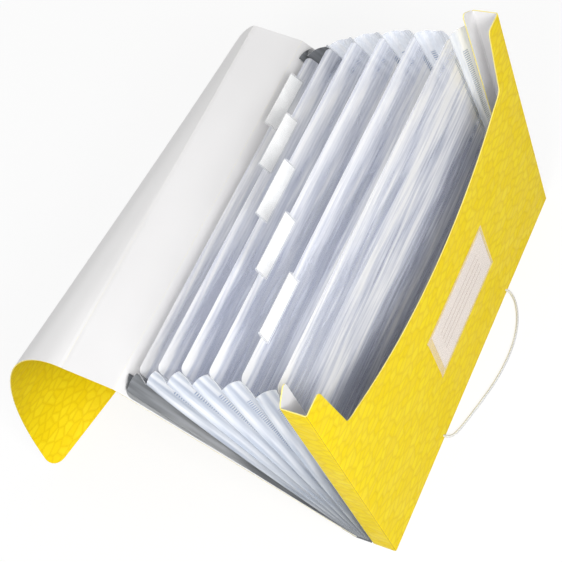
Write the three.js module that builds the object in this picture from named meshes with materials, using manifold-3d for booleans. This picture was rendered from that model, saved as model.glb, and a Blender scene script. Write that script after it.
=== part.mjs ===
// Expanding file folder, standing open like a fan: a stiff sheet cover with a front pocket, a back
// cover and a flap, film dividers, and pleated film gussets that join their sides.
// Millimetres. X runs along the folder's width, +Y towards the back cover, +Z up.
// The origin is the centre of the front pocket's bottom face.

import * as THREE from 'three';
import { mergeVertices } from 'three/addons/utils/BufferGeometryUtils.js';
import Module from 'manifold-3d';

const wasm = await Module();
wasm.setup();

// Driving dimensions

const PANEL_WIDTH = 297;
const COVER_OVERHANG = 16.5;
const WIDTH = PANEL_WIDTH + 2 * COVER_OVERHANG;
const POCKET_HEIGHT = 229;
const POCKET_DEPTH = 20;
const COVER_SHEET = 0.8;
const FILM = 0.4;
const CLEARANCE = 0.3;

const NOTCH_DEPTH = 82.5;
const NOTCH_END_TAB = 19;
const NOTCH_LIP_DROP = 7;
const NOTCH_SIDE_DROP = 47;
const NOTCH_SIDE_LEAN = 6;
const NOTCH_CORNER_RADIUS = 12;
const NOTCH_ARC_RISE = 22;

const FLANGE_WIDTH = 14.5;
const FLANGE_RISE = 9;
const FLANGE_CORNER_RADIUS = 3;

const DIVIDER_COUNT = 5;
const PANEL_HEIGHT = 216;
const PANEL_CORNER_RADIUS = 5;
const FRONT_PANEL_LEAN = 3.6;
const LEAN_STEP = 7.2;
const PANEL_FOOT_PITCH = 2;

const GUSSET_LEAF = 16;
const GUSSET_FOOT = 4;
const GUSSET_FOLD_DROP = 4;
const GUSSET_FOLD_WIDTH = 0.8;
const GUSSET_LAST_SHARE = 0.86;
const GUSSET_FRONT_INSET = 1;
const GUSSET_LEVELS = 7;

const TROUGH_FILM = 0.5;
const TROUGH_WING = 13;
const TROUGH_RADIUS = 3.2;

const BACK_HEIGHT = 220.4;
const BACK_LEAN = 42.7;
const BACK_CORNER_RADIUS = 2;
const SPINE_WIDTH = 43;
const SPINE_RISE = 14.5;
const CREASE_SHEET = 0.3;
const CREASE_TAPER = 2.4;
const CREASE_SETBACK = 0.22;

const FLAP_CORNER_RADIUS = 14;
const FLAP_EDGE_HEIGHT = 0.6;

// How each end of the flap curls, from the crease: its two handles as [back, up], its free edge's
// distance back, and how far the second handle and the free edge are skewed towards -X
const FLAP_NEAR_END = { leave: [52, 20], curl: [130, -106], edge: 86, curlSkew: 4, edgeSkew: 33 };
const FLAP_FAR_END = { leave: [31, -12], curl: [134, -163], edge: 18, curlSkew: 13, edgeSkew: 28 };

const TAB_WIDTH = 50;
const TAB_HEIGHT = 13;
const TAB_WALL = 0.35;
const TAB_CARD = 0.4;
const TAB_CARD_MARGIN = 1.2;
const TAB_PITCH = 48;
const TAB_ROW_CENTRE = 5;
const TAB_STAND = 6;

const SLEEVE_WIDTH = 106;
const SLEEVE_HEIGHT = 52;
const SLEEVE_CENTRE_X = 11;
const SLEEVE_CENTRE_Z = 80;
const SLEEVE_WALL = 0.35;
const SLEEVE_WELD = 3;
const LABEL_SHEET = 0.4;
const LABEL_OPEN_MARGIN = 7;

const CORD_DIAMETER = 2;
const CORD_SIDES = 8;
const CORD_HOLE_SPREAD = 136;
const CORD_HOLE_SHIFT = 1;
const CORD_HOLE_HEIGHT = 3.2;
const CORD_STOP_DIAMETER = 6;
const CORD_STOP_LENGTH = 3;

// Colours and finishes

const finishes = {
  yellow_sheet: { color: '#F0CE1E', roughness: 0.42, metalness: 0 },
  clear_film: { color: '#DDE5EE', roughness: 0.25, metalness: 0, transparent: true, opacity: 0.5 },
  gusset_film: { color: '#C9CED4', roughness: 0.35, metalness: 0, transparent: true, opacity: 0.7 },
  label_card: { color: '#F3ECE8', roughness: 0.8, metalness: 0 },
  elastic: { color: '#CFCFCF', roughness: 0.7, metalness: 0 },
  cord_stop: { color: '#D8D8D8', roughness: 0.5, metalness: 0 },
};

// Places worked out from the driving dimensions

const halfWidth = WIDTH / 2;
const pocketFront = -POCKET_DEPTH / 2;
const pocketBack = POCKET_DEPTH / 2;
const halfPanel = PANEL_WIDTH / 2;
const firstFoot = pocketBack + 1;
const footHeight = TROUGH_FILM + CLEARANCE;
const rad = THREE.MathUtils.degToRad;

// A panel is a plane that leans back from its foot line: its foot, the way up and the way out in YZ
function leaningPlane(footY, footZ, leanDeg) {
  const up = new THREE.Vector2(Math.sin(rad(leanDeg)), Math.cos(rad(leanDeg)));
  const out = new THREE.Vector2(up.y, -up.x);
  return { foot: new THREE.Vector2(footY, footZ), up, out, lean: rad(leanDeg) };
}

// The point of a plane at x, at a distance along it from its foot and a distance off it
function onPlane(plane, x, along, off) {
  const y = plane.foot.x + plane.up.x * along + plane.out.x * off;
  const z = plane.foot.y + plane.up.y * along + plane.out.y * off;
  return new THREE.Vector3(x, y, z);
}

// The planes of the front panel and the dividers, from front to back
const panelPlanes = [];
for (let k = 0; k <= DIVIDER_COUNT; k += 1) {
  panelPlanes.push(leaningPlane(firstFoot + PANEL_FOOT_PITCH * k, footHeight, FRONT_PANEL_LEAN + LEAN_STEP * k));
}
const lastFoot = firstFoot + PANEL_FOOT_PITCH * DIVIDER_COUNT;
const backPlane = leaningPlane(lastFoot + PANEL_FOOT_PITCH + COVER_SHEET / 2, footHeight + COVER_SHEET, BACK_LEAN);
const hinge = onPlane(backPlane, 0, BACK_HEIGHT, 0);
const spineDirection = new THREE.Vector2(Math.cos(rad(SPINE_RISE)), Math.sin(rad(SPINE_RISE)));
const crease = new THREE.Vector3(0, hinge.y + spineDirection.x * SPINE_WIDTH, hinge.z + spineDirection.y * SPINE_WIDTH);

// Building blocks

function toManifold(geometry) {
  const bare = geometry.clone();
  bare.deleteAttribute('normal');
  bare.deleteAttribute('uv');
  const merged = mergeVertices(bare, 1e-4);
  const mesh = new wasm.Mesh({
    numProp: 3,
    vertProperties: new Float32Array(merged.attributes.position.array),
    triVerts: new Uint32Array(merged.index.array),
  });
  return new wasm.Manifold(mesh);
}

function fromManifold(solid) {
  const mesh = solid.getMesh();
  const geometry = new THREE.BufferGeometry();
  geometry.setAttribute('position', new THREE.BufferAttribute(new Float32Array(mesh.vertProperties), 3));
  geometry.setIndex(new THREE.BufferAttribute(new Uint32Array(mesh.triVerts), 1));
  geometry.computeVertexNormals();
  return geometry;
}

function boxBetween(low, high) {
  const geometry = new THREE.BoxGeometry(high[0] - low[0], high[1] - low[1], high[2] - low[2]);
  geometry.translate((low[0] + high[0]) / 2, (low[1] + high[1]) / 2, (low[2] + high[2]) / 2);
  return geometry;
}

function extruded(shape, depth, curveSegments = 8) {
  return new THREE.ExtrudeGeometry(shape, { depth, bevelEnabled: false, curveSegments });
}

// Stands an outline drawn in X and Z upright, its thickness running from y to y + depth
function upright(shape, y, depth, curveSegments = 8) {
  const geometry = extruded(shape, depth, curveSegments);
  geometry.rotateX(Math.PI / 2);
  geometry.translate(0, y + depth, 0);
  return geometry;
}

// Lays an outline drawn in X and height along a leaning plane, centred on the plane plus an offset
function onLeaningPlane(shape, plane, depth, offset) {
  const geometry = extruded(shape, depth, 6);
  geometry.translate(0, 0, -depth / 2 - offset);
  geometry.rotateX(Math.PI / 2 - plane.lean);
  geometry.translate(0, plane.foot.x, plane.foot.y);
  return geometry;
}

function rectangleWithRoundTop(halfSpan, bottom, top, radius) {
  const shape = new THREE.Shape();
  shape.moveTo(-halfSpan, bottom);
  shape.lineTo(halfSpan, bottom);
  shape.lineTo(halfSpan, top - radius);
  shape.absarc(halfSpan - radius, top - radius, radius, 0, Math.PI / 2, false);
  shape.lineTo(-halfSpan + radius, top);
  shape.absarc(-halfSpan + radius, top - radius, radius, Math.PI / 2, Math.PI, false);
  shape.lineTo(-halfSpan, bottom);
  return shape;
}

// A closed solid between two grids of points, rows of them, joined round their edge
function layeredSolid(front, back) {
  const rows = front.length;
  const columns = front[0].length;
  const positions = [...front.flat(), ...back.flat()].flatMap((p) => [p.x, p.y, p.z]);
  const layer = rows * columns;
  const triangles = [];
  const quad = (a, b, c, d) => triangles.push(a, b, c, a, c, d);
  for (let i = 0; i < rows - 1; i += 1) {
    for (let j = 0; j < columns - 1; j += 1) {
      const a = i * columns + j;
      quad(a, a + columns, a + columns + 1, a + 1);
      quad(layer + a, layer + a + 1, layer + a + columns + 1, layer + a + columns);
    }
  }
  for (let i = 0; i < rows - 1; i += 1) {
    const a = i * columns;
    const b = a + columns - 1;
    quad(a, layer + a, layer + a + columns, a + columns);
    quad(b, b + columns, layer + b + columns, layer + b);
  }
  for (let j = 0; j < columns - 1; j += 1) {
    const a = j;
    const b = (rows - 1) * columns + j;
    quad(a, a + 1, layer + a + 1, layer + a);
    quad(b, layer + b, layer + b + 1, b + 1);
  }
  const geometry = new THREE.BufferGeometry();
  geometry.setAttribute('position', new THREE.Float32BufferAttribute(positions, 3));
  geometry.setIndex(triangles);
  geometry.computeVertexNormals();
  return geometry;
}

// A closed sheet round a middle surface: point(i, j) on a grid, half a thickness to each side of it
function sheetSolid(columns, rows, point, thicknessAt) {
  const middle = [];
  for (let i = 0; i < columns; i += 1) {
    middle.push([]);
    for (let j = 0; j < rows; j += 1) {
      middle[i].push(point(i, j));
    }
  }
  const layerAt = (side) => middle.map((column, i) => column.map((place, j) => {
    const alongI = middle[Math.min(i + 1, columns - 1)][j].clone().sub(middle[Math.max(i - 1, 0)][j]);
    const alongJ = column[Math.min(j + 1, rows - 1)].clone().sub(column[Math.max(j - 1, 0)]);
    const normal = alongI.cross(alongJ).normalize();
    return place.clone().addScaledVector(normal, side * thicknessAt(i, j) / 2);
  }));
  return layeredSolid(layerAt(1), layerAt(-1));
}

// Front pocket: one folded sheet with a face, side walls, a bottom wall and inward flanges

function notchedFaceOutline() {
  const top = POCKET_HEIGHT;
  const shoulderX = halfWidth - NOTCH_END_TAB;
  const sideFootX = shoulderX - NOTCH_SIDE_LEAN;
  const sideFootZ = top - NOTCH_LIP_DROP - NOTCH_SIDE_DROP;
  const arcEndX = sideFootX - NOTCH_CORNER_RADIUS;
  const arcLowZ = top - NOTCH_DEPTH;
  const arcRadius = (arcEndX ** 2 + NOTCH_ARC_RISE ** 2) / (2 * NOTCH_ARC_RISE);
  const arcHalfAngle = Math.asin(arcEndX / arcRadius);
  const arcEndZ = arcLowZ + NOTCH_ARC_RISE;
  const shape = new THREE.Shape();
  shape.moveTo(-halfWidth, 0);
  shape.lineTo(halfWidth, 0);
  shape.lineTo(halfWidth, top);
  shape.lineTo(shoulderX + 4, top);
  shape.quadraticCurveTo(shoulderX, top, shoulderX, top - NOTCH_LIP_DROP);
  shape.lineTo(sideFootX, sideFootZ);
  shape.quadraticCurveTo(sideFootX - 1, arcEndZ + 2, arcEndX, arcEndZ);
  const centreZ = arcLowZ + arcRadius;
  shape.absarc(0, centreZ, arcRadius, -Math.PI / 2 + arcHalfAngle, -Math.PI / 2 - arcHalfAngle, true);
  shape.quadraticCurveTo(-sideFootX + 1, arcEndZ + 2, -sideFootX, sideFootZ);
  shape.lineTo(-shoulderX, top - NOTCH_LIP_DROP);
  shape.quadraticCurveTo(-shoulderX, top, -shoulderX - 4, top);
  shape.lineTo(-halfWidth, top);
  shape.lineTo(-halfWidth, 0);
  return shape;
}

function flangeOutline(side) {
  const inner = halfWidth - FLANGE_WIDTH;
  const top = POCKET_HEIGHT + FLANGE_RISE;
  const shape = new THREE.Shape();
  shape.moveTo(side * halfWidth, 0);
  shape.lineTo(side * halfWidth, POCKET_HEIGHT);
  shape.lineTo(side * (inner + FLANGE_CORNER_RADIUS), top);
  shape.quadraticCurveTo(side * inner, top, side * inner, top - FLANGE_CORNER_RADIUS);
  shape.lineTo(side * inner, 0);
  shape.lineTo(side * halfWidth, 0);
  return shape;
}

const cordHoles = [-1, 1].map((side) => CORD_HOLE_SHIFT + side * CORD_HOLE_SPREAD / 2);

function frontPocket() {
  let solid = toManifold(upright(notchedFaceOutline(), pocketFront, COVER_SHEET, 24));
  const bottom = boxBetween([-halfWidth, pocketFront, 0], [halfWidth, pocketBack, COVER_SHEET]);
  solid = solid.add(toManifold(bottom));
  for (const side of [-1, 1]) {
    const outer = side * halfWidth;
    const inner = side * (halfWidth - COVER_SHEET);
    const low = [Math.min(outer, inner), pocketFront, 0];
    const high = [Math.max(outer, inner), pocketBack, POCKET_HEIGHT];
    solid = solid.add(toManifold(boxBetween(low, high)));
    solid = solid.add(toManifold(upright(flangeOutline(side), pocketBack - COVER_SHEET, COVER_SHEET)));
  }
  for (const x of cordHoles) {
    const hole = new THREE.CylinderGeometry(1, 1, 4 * COVER_SHEET, CORD_SIDES * 2);
    hole.scale(CORD_DIAMETER / 2 + CLEARANCE, 1, CORD_DIAMETER / 2 + CLEARANCE);
    hole.translate(x, pocketFront, CORD_HOLE_HEIGHT);
    solid = solid.subtract(toManifold(hole));
  }
  return fromManifold(solid);
}

// Film panels: the front panel and the dividers

function filmPanel(plane, width) {
  const outline = rectangleWithRoundTop(width / 2, 0, PANEL_HEIGHT, PANEL_CORNER_RADIUS);
  return onLeaningPlane(outline, plane, FILM, 0);
}

// Side gussets: one film strip a side. Its front leaf runs from the pocket's flange to the front panel,
// and then it is pleated into a leaf out and a leaf back for each compartment. Every fold is a narrow
// flat, so that the film goes round it at its full thickness.

const across = leaningPlane(0, 0, (FRONT_PANEL_LEAN + BACK_LEAN) / 2).out;

function shiftAcross(place, distance) {
  return new THREE.Vector3(place.x, place.y + across.x * distance, place.z + across.y * distance);
}

// The strip's middle line at one height, from the flange to the back cover, with two points at each fold
function gussetLine(side, along) {
  const innerX = halfPanel + CLEARANCE + FILM / 2;
  const planes = [...panelPlanes, backPlane];
  const foldAlong = along - GUSSET_FOLD_DROP * along / PANEL_HEIGHT;
  const half = GUSSET_FOLD_WIDTH / 2;
  const start = onPlane(planes[0], side * (halfWidth - GUSSET_FRONT_INSET), along, 0);
  start.y = pocketBack + CLEARANCE + FILM / 2;
  const line = [start];
  for (let k = 0; k < planes.length - 1; k += 1) {
    const last = k === planes.length - 2;
    const farOff = last ? -(COVER_SHEET / 2 + CLEARANCE + FILM + half) : 0;
    const share = last ? GUSSET_LAST_SHARE : 0.5;
    const inner = onPlane(planes[k], side * innerX, along, 0);
    line.push(shiftAcross(inner, -half), shiftAcross(inner, half));
    const near = onPlane(planes[k], side * innerX, foldAlong, 0);
    const far = onPlane(planes[k + 1], side * innerX, foldAlong, farOff);
    const fold = near.clone().lerp(far, share);
    const gap = near.distanceTo(far) * share;
    fold.x = side * (innerX + Math.sqrt(GUSSET_LEAF ** 2 - gap ** 2));
    line.push(shiftAcross(fold, -half), shiftAcross(fold, half));
    if (last) {
      line.push(shiftAcross(onPlane(planes[k + 1], side * innerX, along, farOff), half));
    }
  }
  return line;
}

// The line moved half a film to one side, with mitred corners
function offsetLine(line, distance) {
  const flat = line.map((p) => new THREE.Vector2(p.x, p.y * across.x + p.z * across.y));
  const normals = [];
  for (let m = 0; m < flat.length - 1; m += 1) {
    const step = flat[m + 1].clone().sub(flat[m]).normalize();
    normals.push(new THREE.Vector2(-step.y, step.x));
  }
  return line.map((place, m) => {
    const before = normals[Math.max(m - 1, 0)];
    const after = normals[Math.min(m, normals.length - 1)];
    const mitre = before.clone().add(after).multiplyScalar(distance / (1 + before.dot(after)));
    const moved = shiftAcross(place, mitre.y);
    moved.x += mitre.x;
    return moved;
  });
}

function gusset(side) {
  const layers = [[], []];
  for (let j = 0; j < GUSSET_LEVELS; j += 1) {
    const share = (j / (GUSSET_LEVELS - 1)) ** 1.5;
    const line = gussetLine(side, GUSSET_FOOT + (PANEL_HEIGHT - GUSSET_FOOT) * share);
    layers[0].push(offsetLine(line, FILM / 2));
    layers[1].push(offsetLine(line, -FILM / 2));
  }
  return layeredSolid(layers[0], layers[1]);
}

// Bottom gusset: a film trough under the panels' feet, turned up round the back cover's lower edge

function bottomTrough() {
  const wallOff = COVER_SHEET / 2 + CLEARANCE;
  const start = firstFoot - FILM / 2 - CLEARANCE;
  const wingIn = (along) => onPlane(backPlane, 0, along, wallOff);
  const wingOut = (along) => onPlane(backPlane, 0, along, wallOff + TROUGH_FILM);
  const bendY = wingOut(0).y;
  const shape = new THREE.Shape();
  shape.moveTo(start, 0);
  shape.lineTo(bendY - TROUGH_RADIUS / 2, 0);
  shape.quadraticCurveTo(bendY + TROUGH_RADIUS / 4, 0, wingOut(TROUGH_RADIUS).y, wingOut(TROUGH_RADIUS).z);
  shape.lineTo(wingOut(TROUGH_WING).y, wingOut(TROUGH_WING).z);
  shape.lineTo(wingIn(TROUGH_WING).y, wingIn(TROUGH_WING).z);
  shape.lineTo(wingIn(TROUGH_RADIUS).y, wingIn(TROUGH_RADIUS).z);
  shape.quadraticCurveTo(wingIn(0).y + 0.2, TROUGH_FILM, wingIn(0).y - TROUGH_RADIUS / 2, TROUGH_FILM);
  shape.lineTo(start, TROUGH_FILM);
  shape.lineTo(start, 0);
  const geometry = extruded(shape, WIDTH, 8);
  geometry.rotateX(Math.PI / 2);
  geometry.rotateZ(Math.PI / 2);
  geometry.translate(-halfWidth, 0, 0);
  return geometry;
}

// Covers: the back cover, the spine strip and the flap, each thinned along its creases

function taperedThickness(distanceToCrease) {
  const share = Math.min(distanceToCrease / CREASE_TAPER, 1);
  return CREASE_SHEET + (COVER_SHEET - CREASE_SHEET) * share;
}

function backCover() {
  const top = BACK_HEIGHT - CREASE_SETBACK;
  const rows = [0, BACK_CORNER_RADIUS, BACK_HEIGHT / 2, BACK_HEIGHT - CREASE_TAPER, top];
  const columns = [-halfWidth, -halfWidth + BACK_CORNER_RADIUS, halfWidth - BACK_CORNER_RADIUS, halfWidth];
  const point = (i, j) => {
    const corner = (i === 0 || i === columns.length - 1) && j === 0;
    return onPlane(backPlane, columns[i], corner ? BACK_CORNER_RADIUS / 2 : rows[j], 0);
  };
  const thickness = (i, j) => taperedThickness(Math.max(top - rows[j], 0));
  return sheetSolid(columns.length, rows.length, point, thickness);
}

function flapSpine() {
  const top = SPINE_WIDTH - CREASE_SETBACK;
  const rows = [CREASE_SETBACK, CREASE_TAPER, SPINE_WIDTH - CREASE_TAPER, top];
  const columns = [-halfWidth, 0, halfWidth];
  const point = (i, j) => new THREE.Vector3(
    columns[i],
    hinge.y + spineDirection.x * rows[j],
    hinge.z + spineDirection.y * rows[j],
  );
  const thickness = (i, j) => taperedThickness(Math.min(rows[j] - rows[0], top - rows[j]));
  return sheetSolid(columns.length, rows.length, point, thickness);
}

// The flap curls down from the crease to the surface that the folder stands on. It spans two
// cubic curves, one at each end of the width, and its free corners are rounded.
const flapStart = 2 * CREASE_SETBACK;
function flapCurve(x, end) {
  return new THREE.CubicBezierCurve3(
    new THREE.Vector3(x, crease.y, crease.z),
    new THREE.Vector3(x, crease.y + end.leave[0], crease.z + end.leave[1]),
    new THREE.Vector3(x - end.curlSkew, crease.y + end.curl[0], crease.z + end.curl[1]),
    new THREE.Vector3(x - end.edgeSkew, crease.y + end.edge, FLAP_EDGE_HEIGHT),
  );
}

const flapNear = flapCurve(-halfWidth, FLAP_NEAR_END);
const flapFar = flapCurve(halfWidth, FLAP_FAR_END);
const flapLength = flapNear.getLength();

function flap() {
  const radius = FLAP_CORNER_RADIUS;
  const cornerSteps = [0, 0.08, 0.3, 0.6, 1].map((share) => share * radius);
  const columns = [...cornerSteps, WIDTH / 3, WIDTH / 2, 2 * WIDTH / 3];
  columns.push(...cornerSteps.map((step) => WIDTH - step).reverse());
  const rowShares = [0, CREASE_TAPER / flapLength];
  for (let j = 1; j <= 22; j += 1) {
    rowShares.push(j / 22);
  }
  const point = (i, j) => {
    const fromSide = Math.min(columns[i], WIDTH - columns[i]);
    const inCorner = Math.max(radius - fromSide, 0);
    const cut = radius - Math.sqrt(radius ** 2 - inCorner ** 2);
    const share = flapStart / flapLength + rowShares[j] * (1 - (flapStart + cut) / flapLength);
    const near = flapNear.getPointAt(share);
    const far = flapFar.getPointAt(share);
    return near.lerp(far, columns[i] / WIDTH);
  };
  const thickness = (i, j) => taperedThickness(rowShares[j] * flapLength);
  return sheetSolid(columns.length, rowShares.length, point, thickness);
}

// Index tabs: a clear holder on each divider's front face, with a card in it

function tabCentre(k) {
  return TAB_ROW_CENTRE + (k - (DIVIDER_COUNT + 1) / 2) * TAB_PITCH;
}

const tabSlot = TAB_CARD + 2 * CLEARANCE;
const tabDepth = tabSlot + 2 * TAB_WALL;
const tabOffset = -(FILM / 2 + CLEARANCE + tabDepth / 2);
const tabFoot = PANEL_HEIGHT + TAB_STAND - TAB_HEIGHT;

function rectangle(centreX, bottom, width, height) {
  const shape = new THREE.Shape();
  shape.moveTo(centreX - width / 2, bottom);
  shape.lineTo(centreX + width / 2, bottom);
  shape.lineTo(centreX + width / 2, bottom + height);
  shape.lineTo(centreX - width / 2, bottom + height);
  shape.lineTo(centreX - width / 2, bottom);
  return shape;
}

function tabHolder(k) {
  const plane = panelPlanes[k];
  const outer = rectangle(tabCentre(k), tabFoot, TAB_WIDTH, TAB_HEIGHT);
  const slot = rectangle(tabCentre(k), tabFoot + TAB_WALL, TAB_WIDTH + 2, TAB_HEIGHT - 2 * TAB_WALL);
  const body = toManifold(onLeaningPlane(outer, plane, tabDepth, tabOffset));
  return fromManifold(body.subtract(toManifold(onLeaningPlane(slot, plane, tabSlot, tabOffset))));
}

function tabCard(k) {
  const bottom = tabFoot + TAB_WALL + CLEARANCE;
  const height = TAB_HEIGHT - 2 * (TAB_WALL + CLEARANCE);
  const outline = rectangle(tabCentre(k), bottom, TAB_WIDTH - 2 * TAB_CARD_MARGIN, height);
  return onLeaningPlane(outline, panelPlanes[k], TAB_CARD, tabOffset);
}

// Label sleeve: a film pocket welded to the face along three sides, with a card in it

const sleeveBack = pocketFront - CLEARANCE;
const sleeveRecess = LABEL_SHEET + CLEARANCE;

function labelSleeve() {
  const x0 = SLEEVE_CENTRE_X - SLEEVE_WIDTH / 2;
  const x1 = SLEEVE_CENTRE_X + SLEEVE_WIDTH / 2;
  const z0 = SLEEVE_CENTRE_Z - SLEEVE_HEIGHT / 2;
  const z1 = SLEEVE_CENTRE_Z + SLEEVE_HEIGHT / 2;
  const front = sleeveBack - sleeveRecess - SLEEVE_WALL;
  const body = toManifold(boxBetween([x0, front, z0], [x1, sleeveBack, z1]));
  const recess = boxBetween(
    [x0 - 1, sleeveBack - sleeveRecess, z0 + SLEEVE_WELD],
    [x1 - SLEEVE_WELD, sleeveBack + 1, z1 - SLEEVE_WELD],
  );
  return fromManifold(body.subtract(toManifold(recess)));
}

function labelCard() {
  const x0 = SLEEVE_CENTRE_X - SLEEVE_WIDTH / 2 + LABEL_OPEN_MARGIN;
  const x1 = SLEEVE_CENTRE_X + SLEEVE_WIDTH / 2 - SLEEVE_WELD - CLEARANCE;
  const halfHeight = SLEEVE_HEIGHT / 2 - SLEEVE_WELD - CLEARANCE;
  return boxBetween(
    [x0, sleeveBack - LABEL_SHEET, SLEEVE_CENTRE_Z - halfHeight],
    [x1, sleeveBack, SLEEVE_CENTRE_Z + halfHeight],
  );
}

// Elastic cord: a loop that leaves the face through one hole, lies on the ground and goes back in

const cordLow = CORD_DIAMETER / 2 + 0.1;
const cordRoute = [
  [-67, -7.2, CORD_HOLE_HEIGHT],
  [-67, -9.0, CORD_HOLE_HEIGHT],
  [-66.8, -11.5, 2.9],
  [-65.6, -14.2, 1.8],
  [-62.8, -16.6, cordLow],
  [-57.5, -18.9, cordLow],
  [-49.5, -21.4, cordLow],
  [-39.5, -24.1, cordLow],
  [-28.5, -26.9, cordLow],
  [-17.5, -29.4, cordLow],
  [-6.5, -31.3, cordLow],
  [4.5, -32.4, cordLow],
  [15.5, -32.8, cordLow],
  [26.5, -32.3, cordLow],
  [37, -30.6, cordLow],
  [46.5, -27.9, cordLow],
  [54.8, -24.4, cordLow],
  [61.6, -20.4, cordLow],
  [66.2, -16.4, cordLow],
  [68.4, -13.6, 1.8],
  [69, -11.3, 2.9],
  [69, -9.0, CORD_HOLE_HEIGHT],
  [69, -7.2, CORD_HOLE_HEIGHT],
];

function elasticCord() {
  const path = new THREE.CatmullRomCurve3(cordRoute.map((p) => new THREE.Vector3(...p)), false, 'centripetal');
  const section = new THREE.Shape();
  for (let i = 0; i < CORD_SIDES; i += 1) {
    const angle = (2 * Math.PI * i) / CORD_SIDES;
    const place = [Math.cos(angle) * CORD_DIAMETER / 2, Math.sin(angle) * CORD_DIAMETER / 2];
    if (i === 0) {
      section.moveTo(...place);
    } else {
      section.lineTo(...place);
    }
  }
  section.closePath();
  const steps = Math.round(path.getLength() / (2.2 * CORD_DIAMETER));
  return new THREE.ExtrudeGeometry(section, { steps, bevelEnabled: false, extrudePath: path });
}

function cordStop(x) {
  const geometry = new THREE.CylinderGeometry(CORD_STOP_DIAMETER / 2, CORD_STOP_DIAMETER / 2, CORD_STOP_LENGTH, 20);
  geometry.translate(x, cordRoute[0][1] + CLEARANCE + CORD_STOP_LENGTH / 2, CORD_HOLE_HEIGHT + 0.8);
  return geometry;
}

// The folder

const folder = new THREE.Group();
const materials = {};
for (const [name, finish] of Object.entries(finishes)) {
  materials[name] = new THREE.MeshStandardMaterial(finish);
  materials[name].name = name;
}

function add(name, geometry, finish) {
  const mesh = new THREE.Mesh(geometry, materials[finish]);
  mesh.name = name;
  folder.add(mesh);
}

add('front_pocket', frontPocket(), 'yellow_sheet');
add('back_cover', backCover(), 'yellow_sheet');
add('flap_spine', flapSpine(), 'yellow_sheet');
add('flap', flap(), 'yellow_sheet');
add('front_panel', filmPanel(panelPlanes[0], PANEL_WIDTH), 'clear_film');
for (let k = 1; k <= DIVIDER_COUNT; k += 1) {
  add(`divider_${k}`, filmPanel(panelPlanes[k], PANEL_WIDTH), 'clear_film');
  add(`tab_holder_${k}`, tabHolder(k), 'clear_film');
  add(`tab_card_${k}`, tabCard(k), 'label_card');
}
add('left_gusset', gusset(-1), 'gusset_film');
add('right_gusset', gusset(1), 'gusset_film');
add('bottom_gusset', bottomTrough(), 'gusset_film');
add('label_sleeve', labelSleeve(), 'clear_film');
add('label_card', labelCard(), 'label_card');
add('elastic_cord', elasticCord(), 'elastic');
add('cord_stop_left', cordStop(cordHoles[0]), 'cord_stop');
add('cord_stop_right', cordStop(cordHoles[1]), 'cord_stop');

export default folder;
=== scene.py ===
import math

import bpy
import numpy as np
from mathutils import Matrix, Vector


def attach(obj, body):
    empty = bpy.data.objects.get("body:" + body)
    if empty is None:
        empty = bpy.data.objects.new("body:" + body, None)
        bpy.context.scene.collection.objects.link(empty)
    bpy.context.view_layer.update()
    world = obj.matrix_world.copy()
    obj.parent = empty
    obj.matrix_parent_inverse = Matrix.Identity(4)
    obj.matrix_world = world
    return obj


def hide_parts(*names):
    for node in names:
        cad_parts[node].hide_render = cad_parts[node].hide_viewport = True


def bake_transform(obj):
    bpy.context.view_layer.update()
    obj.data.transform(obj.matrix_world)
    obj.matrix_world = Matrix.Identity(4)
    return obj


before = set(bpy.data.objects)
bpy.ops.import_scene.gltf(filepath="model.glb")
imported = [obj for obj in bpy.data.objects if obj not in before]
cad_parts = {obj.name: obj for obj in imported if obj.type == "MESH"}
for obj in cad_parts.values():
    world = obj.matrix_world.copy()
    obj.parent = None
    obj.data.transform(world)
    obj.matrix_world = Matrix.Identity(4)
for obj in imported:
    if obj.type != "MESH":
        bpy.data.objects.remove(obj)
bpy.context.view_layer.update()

# Lengths below are in millimetres, and every mesh is written in metres
MM = 0.001

# Sizes of the folder, as its solids have them
WIDTH = 330.0
HALF_WIDTH = WIDTH / 2
POCKET_HEIGHT = 229.0
POCKET_DEPTH = 20.0
COVER_SHEET = 0.8
FILM = 0.4
CLEARANCE = 0.3
FOLD_RADIUS = 0.9
FOLD_GROOVE = 0.45
FLOOR_END_INSET = 1.2
FLOOR_FRONT_INSET = 1.0
FLOOR_BACK_INSET = 0.2

NOTCH_DEPTH = 82.5
NOTCH_END_TAB = 19.0
NOTCH_LIP_DROP = 7.0
NOTCH_SIDE_DROP = 47.0
NOTCH_SIDE_LEAN = 6.0
NOTCH_CORNER_RADIUS = 12.0
NOTCH_ARC_RISE = 22.0
FLANGE_WIDTH = 14.5
FLANGE_RISE = 9.0
FLANGE_CORNER_RADIUS = 3.0

DIVIDER_COUNT = 5
PANEL_WIDTH = 297.0
PANEL_HEIGHT = 216.0
PANEL_CORNER_RADIUS = 5.0
FRONT_PANEL_LEAN = 3.6
LEAN_STEP = 7.2
FOOT_PITCH = 2.0
FOOT_HEIGHT = 0.8
PANEL_FILM = FILM * 0.75
PANEL_BOW = 1.1

GUSSET_LEAF = 16.0
GUSSET_FOOT = 4.0
GUSSET_FOLD_DROP = 4.0
GUSSET_FOLD_WIDTH = 0.8
GUSSET_LAST_SHARE = 0.86
GUSSET_FRONT_INSET = 1.0
GUSSET_BOW = 0.7
GUSSET_CROWN = 1.6
PLEAT_FILM = 0.22
WELD_FLANGE_FILM = 0.12
GUSSET_SHADED_STRIPS = 24
WELD_FLANGE_RADIUS = 9.0
WELD_FLANGE_DROP = 2
WELD_FLANGE_GAP = 0.15
WELD_RIB_PITCH = 2.2
WELD_RIB_HALF_WIDTH = 0.5
WELD_RIB_TOP = 194

BACK_HEIGHT = 220.4
BACK_LEAN = 42.7
SPINE_WIDTH = 43.0
SPINE_RISE = 14.5
CREASE_SETBACK = 0.22
CREASE_SHEET = 0.35
WEB_SHEET = 0.2
WEB_REACH = 1.0
FLAP_CORNER_RADIUS = 14.0

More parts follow.
